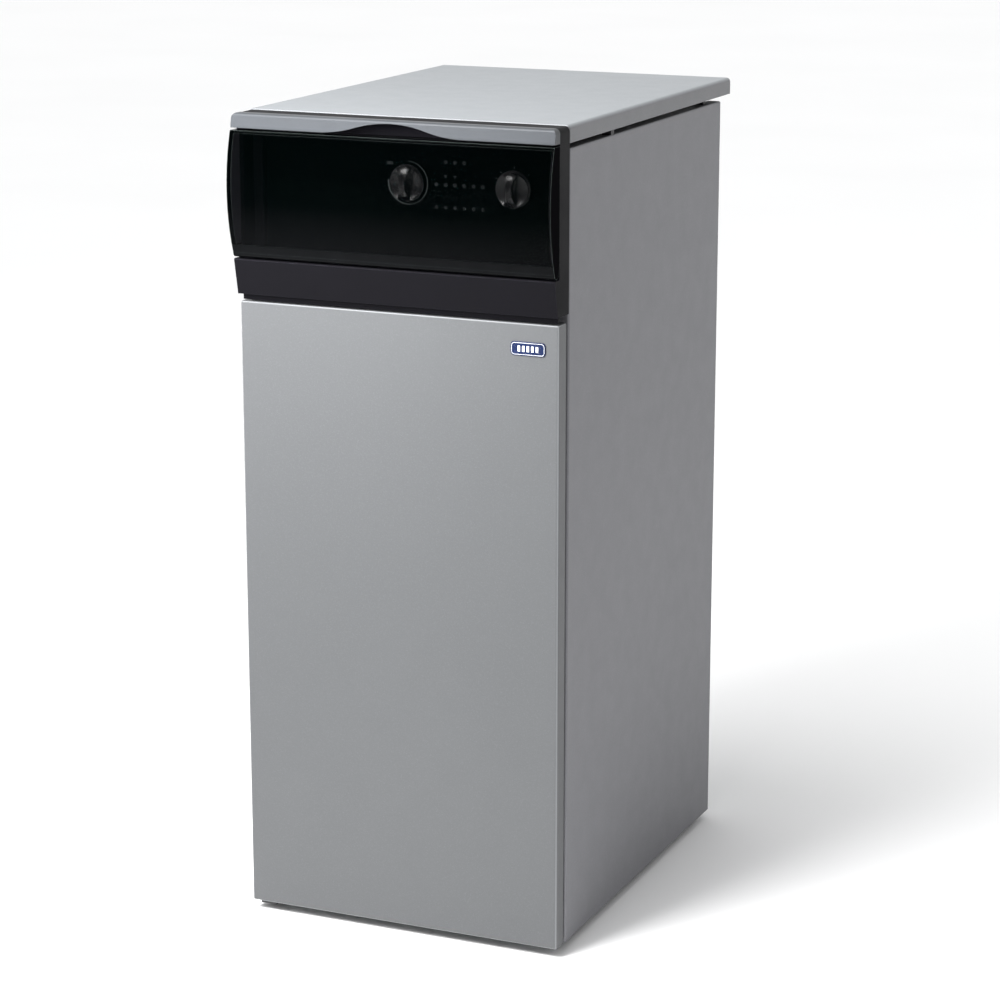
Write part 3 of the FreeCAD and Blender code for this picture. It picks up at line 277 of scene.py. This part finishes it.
def cast_iron(name, tone):
    """Sand-cast iron: coarse grains, slight flow marks and a dusting of rust in the hollows."""
    look = Look(name)
    grains = look.noise(900, detail=5, roughness=0.75)
    lumps = look.noise(110, detail=4)
    rust = look.span(look.noise(24, detail=6, roughness=0.7), 0, 0.8, 0.55, 0.75)
    tone_out = look.mix(rust, look.tint(tone, grains, 0.25), (0.13, 0.055, 0.028))
    pitted = look.bump(grains, 0.0003, look.soft_edges(0.0012))
    look.set(Base_Color=tone_out, Metallic=0.25, Normal=look.bump(lumps, 0.0006, pitted),
             Roughness=look.span(grains, 0.62, 0.85, 0.3, 0.7))
    return look.material


UNDER_PAINT = (0.25, 0.25, 0.26)


def painted(name, tone, rough=0.35, grain=0.00008, wear=0.6):
    """Brushed or stoved paint, thin along the edges."""
    look = Look(name)
    runs = look.noise(260, detail=3)
    thin = look.span(look.noise(300, detail=4), 0, wear, 0.5, 0.65)
    chips = look.maths("MULTIPLY", look.edges(0.0008), thin)
    tone_out = look.mix(chips, look.tint(tone, look.noise(40, detail=4), 0.12), UNDER_PAINT)
    look.set(Base_Color=tone_out, Normal=look.bump(runs, grain, look.soft_edges(0.0005)),
             Roughness=look.span(runs, rough - 0.06, rough + 0.1, 0.3, 0.7))
    return look.material


def clear_glass(name, tone, alpha):
    """Glass or clear plastic with smears."""
    look = Look(name)
    smear = look.noise(120, detail=4)
    look.set(Base_Color=look.tint(tone, smear, 0.1), Alpha=look.span(smear, alpha - 0.05, alpha + 0.1),
             Roughness=look.span(smear, 0.03, 0.16, 0.4, 0.8),
             Normal=look.bump(look.noise(60), 0.00005, look.soft_edges(0.0004)))
    return look.material


def circuit_board(name):
    """Green solder resist over rows of tracks and pads."""
    look = Look(name)
    tracks = look.cells(420, "Distance", feature="DISTANCE_TO_EDGE", stretch=(1, 1, 0.5))
    copper = look.span(tracks, 1, 0, 0.05, 0.09)
    pads = look.span(look.cells(300, "Distance"), 1, 0, 0.22, 0.26)
    tone_out = look.mix(copper, (0.012, 0.085, 0.035), (0.03, 0.17, 0.07))
    tone_out = look.mix(look.maths("MULTIPLY", pads, 0.8), tone_out, (0.55, 0.55, 0.5))
    look.set(Base_Color=tone_out, Roughness=look.span(look.noise(500), 0.28, 0.42),
             Normal=look.bump(copper, 0.00005, look.soft_edges(0.0003)))
    return look.material


def glazed(name, tone):
    """Glazed ceramic with brown specks."""
    look = Look(name)
    speck = look.noise(1400, detail=3)
    look.set(Base_Color=look.mix(look.span(speck, 0, 0.5, 0.6, 0.72), tone, (0.35, 0.30, 0.25)),
             Roughness=look.span(look.noise(150, detail=3), 0.15, 0.3), Coat_Weight=0.5,
             Normal=look.bump(look.noise(200), 0.00006, look.soft_edges(0.0005)))
    return look.material


def foil(name):
    """Aluminium foil glued on glass wool: fine creases over broad puckers."""
    look = Look(name)
    creases = look.cells(85, "Distance", feature="DISTANCE_TO_EDGE")
    fine = look.noise(380, detail=5, roughness=0.7, distortion=0.6)
    scrim = look.span(look.cells(170, "Distance", feature="DISTANCE_TO_EDGE"), 1, 0, 0.0, 0.05)
    tone_out = look.tint((0.74, 0.75, 0.76), fine, 0.10)
    folded = look.bump(look.span(creases, 0, 1, 0.0, 0.12), 0.0006)
    ribbed = look.bump(scrim, 0.0001, folded)
    look.set(Base_Color=tone_out, Metallic=1.0, Normal=look.bump(fine, 0.0005, ribbed),
             Roughness=look.span(look.noise(90, detail=4), 0.22, 0.40, 0.3, 0.7))
    return look.material


looks = {
    "casing": powder_coat("casing", (0.160, 0.160, 0.172)),
    # Lid: painted light, its faces that look up are lighter than its sides.
    "casing_top": powder_coat("casing_top", (0.160, 0.162, 0.170), lit_top_tone=(0.300, 0.318, 0.335)),
    # Door: painted highlight on its rounded edges.
    "casing_door": powder_coat("casing_door", (0.094, 0.097, 0.101), metal=0.2, painted_edge_highlight=0.9),
    "galvanised": sheet_zinc("galvanised", (0.60, 0.62, 0.63)),
    "black_steel": painted("black_steel", (0.022, 0.022, 0.024), rough=0.5),
    "aluminised": sheet_zinc("aluminised", (0.62, 0.62, 0.61), scale=400, rough=0.42),
    "black_plastic": moulded("black_plastic", (0.020, 0.020, 0.021)),
    "foot_plastic": moulded("foot_plastic", (0.028, 0.028, 0.030),
                            rough=0.6, grain=0.00008, scale=700),
    "zinc": worked_metal("zinc", (0.66, 0.66, 0.60), rough=0.32, scale=1200),
    # Panel plastic: edges lightened by rubbed wear and a painted highlight.
    "panel_plastic": moulded("panel_plastic", (0.0034, 0.0032, 0.0043),
                             rough=0.55, grain=0.00004, gloss=0.07, edge_wear_and_highlight_gain=8),
    "silver_trim": silver_lacquer("silver_trim", (0.050, 0.054, 0.060)),
    "smoked_glass": smoked_acrylic("smoked_glass"),
    "fascia_black": moulded("fascia_black", (0.0005, 0.0011, 0.0012),
                            rough=0.5, grain=0.00002, gloss=0.02),
    # Knobs: edges lightened by rubbed wear and a painted highlight.
    "knob_black": moulded("knob_black", (0.009, 0.008, 0.010),
                          rough=0.25, grain=0.00001, gloss=0.9, index=2.0, edge_wear_and_highlight_gain=7),
    "light_guide": clear_glass("light_guide", (0.030, 0.034, 0.034), 0.9),
    "circuit_board": circuit_board("circuit_board"),
    "badge_blue": painted("badge_blue", (0.0035, 0.010, 0.045), rough=0.22, grain=0.00002, wear=0.0),
    "cast_iron": cast_iron("cast_iron", (0.065, 0.064, 0.066)),
    "sight_glass": clear_glass("sight_glass", (0.55, 0.60, 0.58), 0.35),
    "pipe_steel": worked_metal("pipe_steel", (0.30, 0.29, 0.29), rough=0.42, scale=500, stain=0.25),
    "brass": worked_metal("brass", (0.72, 0.50, 0.21), rough=0.24, scale=1500, stain=0.1),
    "red_lever": painted("red_lever", (0.46, 0.020, 0.014), rough=0.32, grain=0.0001),
    "foil_wool": foil("foil_wool"),
    "thermostat": moulded("thermostat", (0.055, 0.040, 0.028), rough=0.42, grain=0.00005),
    "stainless": worked_metal("stainless", (0.56, 0.55, 0.53),
                              rough=0.26, scale=900, stretch=(0.1, 0.05, 1)),
    "valve_aluminium": worked_metal("valve_aluminium", (0.60, 0.61, 0.62),
                                    rough=0.45, scale=420, relief=0.0001),
    "gas_pipe": painted("gas_pipe", (0.55, 0.33, 0.03), rough=0.33, grain=0.0001),
    "ceramic": glazed("ceramic", (0.80, 0.76, 0.68)),
    "lead_sleeve": moulded("lead_sleeve", (0.055, 0.055, 0.06), rough=0.62, grain=0.00006, scale=900),
}
for part in frame["record"]["subparts"]:
    for material_slot in nodes[part["node"]].material_slots:
        material_slot.material = looks[part["material_slot"]]


# ---- Mesh helpers ------------------------------------------------------------------------

def piece(name, verts, faces, look, body):
    """A mesh piece in the row frame that rides on a body."""
    mesh = bpy.data.meshes.new(name)
    mesh.from_pydata([Vector(v) for v in verts], [], faces)
    mesh.validate()
    mesh.update()
    mesh.materials.append(look)
    made = bpy.data.objects.new(name, mesh)
    bpy.context.scene.collection.objects.link(made)
    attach(made, body)


class Print:
    """Raised ink shapes on a plane of constant y, gathered into one mesh. Sizes in millimetres."""

    def __init__(self, face, height):
        self.back, self.front = face, face - height
        self.verts, self.faces = [], []

    def shape(self, points):
        """A closed polygon, given anticlockwise as seen from the front."""
        first, count = len(self.verts), len(points)
        for y in (self.front, self.back):
            self.verts += [(x * MM, y * MM, z * MM) for x, z in points]
        self.faces.append([first + k for k in range(count)])
        self.faces.append([first + count + k for k in reversed(range(count))])
        for k in range(count):
            after = (k + 1) % count
            self.faces.append([first + k, first + count + k, first + count + after, first + after])

    def arc(self, x, z, radius, width, start, end, steps=48):
        """A ring segment; angles in degrees clockwise from straight up."""
        inner, outer = radius - width / 2, radius + width / 2
        turns = [math.radians(start + (end - start) * k / steps) for k in range(steps + 1)]
        for a, b in zip(turns, turns[1:]):
            corners = [(inner, a), (inner, b), (outer, b), (outer, a)]
            self.shape([(x + r * math.sin(t), z + r * math.cos(t)) for r, t in corners])

    def tick(self, x, z, angle, near, far, width):
        turn = math.radians(angle)
        along = (math.sin(turn), math.cos(turn))
        across = (math.cos(turn) * width / 2, -math.sin(turn) * width / 2)
        ends = [(x + along[0] * r, z + along[1] * r) for r in (near, far)]
        (ax, az), (bx, bz) = ends
        self.shape([(ax - across[0], az - across[1]), (ax + across[0], az + across[1]),
                    (bx + across[0], bz + across[1]), (bx - across[0], bz - across[1])])

    def bar(self, x, z, wide, high):
        self.shape([(x - wide / 2, z - high / 2), (x + wide / 2, z - high / 2),
                    (x + wide / 2, z + high / 2), (x - wide / 2, z + high / 2)])

    def finish(self, name, look, body):
        piece(name, self.verts, self.faces, look, body)


def rounded(x, z, half_wide, half_high, corner, steps=6):
    """Points of a rounded rectangle about a centre, anticlockwise."""
    points = []
    for quarter, (side, end) in enumerate(((1, 1), (-1, 1), (-1, -1), (1, -1))):
        for k in range(steps + 1):
            turn = math.pi / 2 * (quarter + k / steps)
            points.append((x + side * (half_wide - corner) + corner * math.cos(turn),
                           z + end * (half_high - corner) + corner * math.sin(turn)))
    return points


def spread(count, pitch):
    """Offsets of evenly spaced places about zero."""
    return [pitch * (step - (count - 1) / 2) for step in range(count)]


# ---- Print on the fascia and badge, in millimetres ------------------------------------------

def ink(name, tone):
    """Screen-printed ink with a slightly broken cover."""
    look = Look(name)
    cover = look.noise(1800, detail=3)
    look.set(Base_Color=look.tint(tone, cover, 0.2), Roughness=look.span(cover, 0.45, 0.65),
             Normal=look.bump(cover, 0.00001))
    return look.material


grey_ink = ink("grey_ink", (0.085, 0.095, 0.10))
dim_ink = ink("dim_ink", (0.15, 0.165, 0.17))
white_ink = ink("white_ink", (0.72, 0.73, 0.75))


def centre(name):
    """The middle of a CAD node across the front, as x and z."""
    low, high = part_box(name)
    return (low.x + high.x) / 2 / MM, (low.z + high.z) / 2 / MM


def front_of(name):
    """The y of a CAD node's front."""
    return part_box(name)[0].y / MM


INK_HEIGHT = 0.08
temperature_x, knob_z = centre("temperature_knob")
selector_x = centre("selector_knob")[0]

SCALE_RADIUS, SCALE_START, SCALE_STEPS, SCALE_PITCH, SCALE_DASH = 21.4, -84, 28, 9.85, 8.6
SCALE_WIDEST, SCALE_NARROWEST = 1.2, 0.4
TICK_ANGLES = (-63, -42, 0, 46)
TICK_NEAR, TICK_FAR, TICK_WIDE = 20.2, 22.0, 0.8

marks = Print(front_of("fascia_plate"), INK_HEIGHT)
for step in range(SCALE_STEPS):
    end = SCALE_START - step * SCALE_PITCH
    width = SCALE_WIDEST - (SCALE_WIDEST - SCALE_NARROWEST) * step / (SCALE_STEPS - 1)
    marks.arc(temperature_x, knob_z, SCALE_RADIUS, width, end - SCALE_DASH, end, steps=4)
for angle in TICK_ANGLES:
    marks.tick(selector_x, knob_z, angle, TICK_NEAR, TICK_FAR, TICK_WIDE)
marks.finish("fascia_scale_print", dim_ink, "casing")

SIGN_ANGLE, SIGN_RADIUS = math.radians(-46), 27
GRILLE_COUNT, GRILLE_PITCH, GRILLE_WIDE, GRILLE_HIGH = 4, 1.6, 0.8, 3.0
RAIL_RISE, RAIL_WIDE, RAIL_HIGH = 1.1, 6.4, 0.5
LIGHT_X, LIGHT_PITCH, LIGHT_RISE = 31, 10, 22.5
LIGHT_ROWS = ((1, 1, 3), (0, 0, 6), (-1, 0, 6))
RING_RADIUS, RING_WIDE = 1.7, 0.4
CAPTIONS, CAPTION_HIGH = ((9.0, 3.0), (7.6, 1.8)), 0.7

signs = Print(front_of("fascia_plate"), INK_HEIGHT)
sign_x = temperature_x + SIGN_RADIUS * math.sin(SIGN_ANGLE)
sign_z = knob_z + SIGN_RADIUS * math.cos(SIGN_ANGLE)
for offset in spread(GRILLE_COUNT, GRILLE_PITCH):
    signs.bar(sign_x + offset, sign_z, GRILLE_WIDE, GRILLE_HIGH)
for rise in (RAIL_RISE, -RAIL_RISE):
    signs.bar(sign_x, sign_z + rise, RAIL_WIDE, RAIL_HIGH)
for row, first, count in LIGHT_ROWS:
    for step in range(first, first + count):
        x, z = LIGHT_X + LIGHT_PITCH * step, knob_z + LIGHT_RISE * row
        signs.arc(x, z, RING_RADIUS, RING_WIDE, 0, 360, steps=16)
for step in (1, 2):
    for rise, width in CAPTIONS:
        signs.bar(LIGHT_X + LIGHT_PITCH * step, knob_z + rise, width, CAPTION_HIGH)
signs.finish("fascia_symbol_print", grey_ink, "casing")

BADGE_SINK, BADGE_INK = 0.02, 0.1
RIM_HALF_WIDE, RIM_HALF_HIGH, RIM_CORNER, RIM_WIDE = 17.4, 5.9, 3.2, 0.35
BAR_COUNT, BAR_PITCH, BAR_WIDE, BAR_HIGH = 5, 4.8, 2.5, 5.8

badge = Print(front_of("door_badge") + BADGE_SINK, BADGE_INK)
badge_x, badge_z = centre("door_badge")
outside = rounded(badge_x, badge_z, RIM_HALF_WIDE, RIM_HALF_HIGH, RIM_CORNER)
inside = rounded(badge_x, badge_z, RIM_HALF_WIDE - RIM_WIDE, RIM_HALF_HIGH - RIM_WIDE, RIM_CORNER - RIM_WIDE)
for k in range(len(outside)):
    after = (k + 1) % len(outside)
    badge.shape([inside[k], outside[k], outside[after], inside[after]])
for offset in spread(BAR_COUNT, BAR_PITCH):
    badge.bar(badge_x + offset, badge_z, BAR_WIDE, BAR_HIGH)
badge.finish("door_badge_print", white_ink, "door")


# ---- Foil-faced insulation -----------------------------------------------------------------

WELD_GAP = 0.00005
SMOOTH_STEPS = 6
INSET = 0.0002
PUCKERS, BILLOWS = 28, 11
# The ridges' roughness, step between octaves, number of octaves, offset and gain, and their peak.
RIDGES, PUCKER_PEAK = (0.9, 2.1, 4, 1.0, 2.0), 2.2
PUCKER_SHARE, BILLOW_SHARE = 0.62, 0.38
BILLOW_SHIFT = Vector((3, 7, 1))


def pucker_depth(spot):
    """0 to about 1 over the foil: sharp puckers over broad billows, each so many to the metre."""
    pucker = noise.ridged_multi_fractal(spot * PUCKERS, *RIDGES) / PUCKER_PEAK
    billow = noise.noise(spot * BILLOWS + BILLOW_SHIFT) + 0.5
    return PUCKER_SHARE * pucker + BILLOW_SHARE * billow


def quilt(name, source, amount, voxel):
    """A CAD solid remeshed, drawn in a little and puckered by up to the amount, as foil-faced wool."""
    made = nodes[source].copy()
    made.data = nodes[source].data.copy()
    made.name = made.data.name = name
    made.parent = None
    for key in list(made.keys()):
        del made[key]
    bpy.context.scene.collection.objects.link(made)
    weld = bmesh.new()
    weld.from_mesh(made.data)
    bmesh.ops.remove_doubles(weld, verts=weld.verts, dist=WELD_GAP)
    weld.to_mesh(made.data)
    weld.free()
    remesh = made.modifiers.new("remesh", "REMESH")
    remesh.mode, remesh.voxel_size = "VOXEL", voxel
    smooth = made.modifiers.new("smooth", "CORRECTIVE_SMOOTH")
    smooth.iterations, smooth.use_only_smooth = SMOOTH_STEPS, True
    bpy.context.view_layer.update()
    graph = bpy.context.evaluated_depsgraph_get()
    mesh = bpy.data.meshes.new_from_object(made.evaluated_get(graph))
    made.modifiers.clear()
    made.data = mesh
    mesh.shade_smooth()
    normals = [vertex.normal.copy() for vertex in mesh.vertices]
    for vertex, normal in zip(mesh.vertices, normals):
        vertex.co -= normal * (INSET + amount * pucker_depth(vertex.co))
    mesh.update()
    mesh.materials.clear()
    mesh.materials.append(looks["foil_wool"])
    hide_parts(source)
    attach(made, "casing")


quilt("foil_jacket", "insulation_jacket", amount=0.0018, voxel=0.0045)
quilt("foil_front_pad", "insulation_front", amount=0.0022, voxel=0.0035)


# ---- Floor, light and camera ---------------------------------------------------------------

def floor_look():
    """Pale matt paper, very slightly cloudy."""
    look = Look("floor")
    cloud = look.noise(1.3, detail=3)
    look.set(Base_Color=look.tint((0.95, 0.95, 0.95), cloud, 0.01), Roughness=0.9,
             Specular_IOR_Level=0.1, Normal=look.bump(look.noise(300), 0.00002))
    return look.material


FLOOR_HALF, FLOOR_Z = 60.0, -0.0002
floor_mesh = bpy.data.meshes.new("studio_floor")
floor_corners = [(x * FLOOR_HALF, y * FLOOR_HALF, FLOOR_Z) for x, y in ((-1, -1), (1, -1), (1, 1), (-1, 1))]
floor_mesh.from_pydata(floor_corners, [], [(0, 1, 2, 3)])
floor_mesh.materials.append(floor_look())
floor = bpy.data.objects.new("studio_floor", floor_mesh)
bpy.context.scene.collection.objects.link(floor)


def place_light(name, light, spot, target):
    """Puts a light in the scene, aimed from the spot at the target."""
    item = bpy.data.objects.new(name, light)
    bpy.context.scene.collection.objects.link(item)
    item.location = spot
    item.rotation_euler = (Vector(target) - Vector(spot)).to_track_quat("-Z", "Y").to_euler()
    return item


SUN_DISTANCE = 5


def sun(name, direction, strength, angle):
    """A sun in the given direction, as broad as the angle in degrees."""
    light = bpy.data.lights.new(name, "SUN")
    light.energy, light.angle = strength, math.radians(angle)
    place_light(name, light, Vector(direction).normalized() * SUN_DISTANCE, (0, 0, 0))


def softbox(name, spot, target, size, power, glossy):
    """A rectangular light that the camera doesn't see, and that gloss reflects only if asked to."""
    light = bpy.data.lights.new(name, "AREA")
    light.shape, light.energy = "RECTANGLE", power
    light.size, light.size_y = size
    item = place_light(name, light, spot, target)
    item.visible_camera, item.visible_glossy = False, glossy


def studio_world(colour, dim, dim_at, bright, bright_at):
    """An even sky whose strength rises along y, so that it is dimmer in front of the object."""
    world = bpy.data.worlds.new("studio")
    world.use_nodes = True
    tree = world.node_tree
    background = tree.nodes["Background"]
    ray = tree.nodes.new("ShaderNodeTexCoord")
    split = tree.nodes.new("ShaderNodeSeparateXYZ")
    ramp = tree.nodes.new("ShaderNodeMapRange")
    tree.links.new(ray.outputs["Generated"], split.inputs[0])
    tree.links.new(split.outputs["Y"], ramp.inputs["Value"])
    limits = {"From Min": dim_at, "From Max": bright_at, "To Min": dim, "To Max": bright}
    for socket, setting in limits.items():
        ramp.inputs[socket].default_value = setting
    tree.links.new(ramp.outputs["Result"], background.inputs["Strength"])
    background.inputs["Color"].default_value = (*colour, 1)
    bpy.context.scene.world = world


studio_world((0.99, 0.995, 1.0), dim=0.22, dim_at=-0.7, bright=1.0, bright_at=0.8)
sun("key_sun", (-0.25, -0.4, 0.88), strength=1.6, angle=40)
softbox("door_softbox", (-0.22, -0.74, 0.88), (-0.08, -0.23, 0.54), (0.5, 0.45), power=14, glossy=False)
softbox("front_softbox", (-0.45, -1.30, 0.95), (0.0, -0.23, 0.50), (0.8, 0.6), power=5, glossy=False)
softbox("high_softbox", (-0.52, -1.25, 1.95), (0.0, -0.23, 0.78), (0.7, 0.5), power=24, glossy=True)

CAMERA_SPOT = (1.258, -2.864, 1.200)
CAMERA_DOWN, CAMERA_YAW = 0.2465, 0.4108
LENS, SENSOR, FAR_CLIP = 107.4, 36, 200
camera_data = bpy.data.cameras.new("photo_view")
camera_data.lens, camera_data.sensor_width, camera_data.clip_end = LENS, SENSOR, FAR_CLIP
camera = bpy.data.objects.new("photo_view", camera_data)
bpy.context.scene.collection.objects.link(camera)
camera.location = CAMERA_SPOT
camera.rotation_euler = (math.pi / 2 - CAMERA_DOWN, 0, CAMERA_YAW)
bpy.context.scene.camera = camera
bpy.context.scene.view_settings.view_transform = "Standard"
